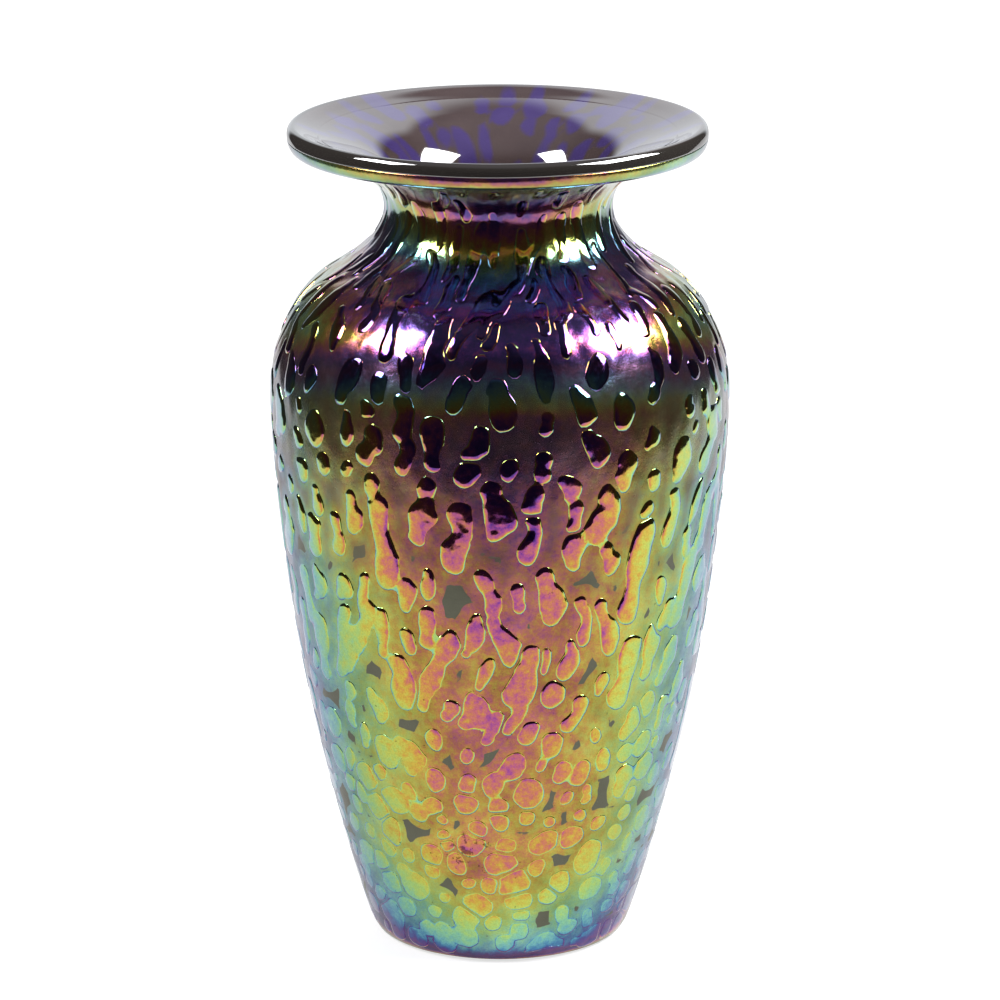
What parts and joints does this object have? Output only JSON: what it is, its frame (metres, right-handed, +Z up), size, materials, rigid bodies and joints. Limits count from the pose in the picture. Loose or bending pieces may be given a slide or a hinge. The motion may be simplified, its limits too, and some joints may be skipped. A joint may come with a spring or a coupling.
{
  "type": "blown glass vase",
  "caption": "Tall shouldered blown glass vase with a narrow neck, a wide flared lip and chips of iridised glass melted into its violet wall.",
  "frame": {"origin": "centre of the ground foot, on the surface the vase stands on", "axes": "+Z up along the vase's axis of turning; the vase is round, so X and Y are any two square directions, -Y towards the viewer of the finished side"},
  "size_m": [0.1118, 0.1115, 0.203],
  "materials": {
    "violet_casing": "matt iridescent film, olive to brown with teal and violet edges",
    "iridised_chip": "mirror bright iridescent film, pink to gold to green to blue",
    "clear_gather": "fire polished, glossy, the violet casing shows through",
    "lip_glass": "fire polished, near black, glossy",
    "pontil_glass": "ground and polished"
  },
  "bodies": {
    "root": {"violet_casing": "violet_casing", "inner_gather": "clear_gather", "rolled_lip": "lip_glass", "pontil_button": "pontil_glass", "glass_chip_01": "iridised_chip", "glass_chip_02": "iridised_chip", "glass_chip_03": "iridised_chip", "glass_chip_04": "iridised_chip", "glass_chip_05": "iridised_chip", "glass_chip_06": "iridised_chip", "glass_chip_07": "iridised_chip", "glass_chip_08": "iridised_chip", "glass_chip_09": "iridised_chip", "glass_chip_10": "iridised_chip", "glass_chip_11": "iridised_chip", "glass_chip_12": "iridised_chip", "glass_chip_13": "iridised_chip", "glass_chip_14": "iridised_chip", "glass_chip_15": "iridised_chip", "glass_chip_16": "iridised_chip", "glass_chip_17": "iridised_chip", "glass_chip_18": "iridised_chip", "glass_chip_19": "iridised_chip", "glass_chip_20": "iridised_chip", "glass_chip_21": "iridised_chip", "glass_chip_22": "iridised_chip", "glass_chip_23": "iridised_chip", "glass_chip_24": "iridised_chip", "glass_chip_25": "iridised_chip", "glass_chip_26": "iridised_chip", "glass_chip_27": "iridised_chip", "glass_chip_28": "iridised_chip", "glass_chip_29": "iridised_chip", "glass_chip_30": "iridised_chip", "glass_chip_31": "iridised_chip", "glass_chip_32": "iridised_chip", "glass_chip_33": "iridised_chip", "glass_chip_34": "iridised_chip", "glass_chip_35": "iridised_chip", "glass_chip_36": "iridised_chip", "glass_chip_37": "iridised_chip", "glass_chip_38": "iridised_chip", "glass_chip_39": "iridised_chip", "glass_chip_40": "iridised_chip", "glass_chip_41": "iridised_chip", "glass_chip_42": "iridised_chip", "glass_chip_43": "iridised_chip", "glass_chip_44": "iridised_chip", "glass_chip_45": "iridised_chip", "glass_chip_46": "iridised_chip", "glass_chip_47": "iridised_chip", "glass_chip_48": "iridised_chip"}
  },
  "joints": []
}
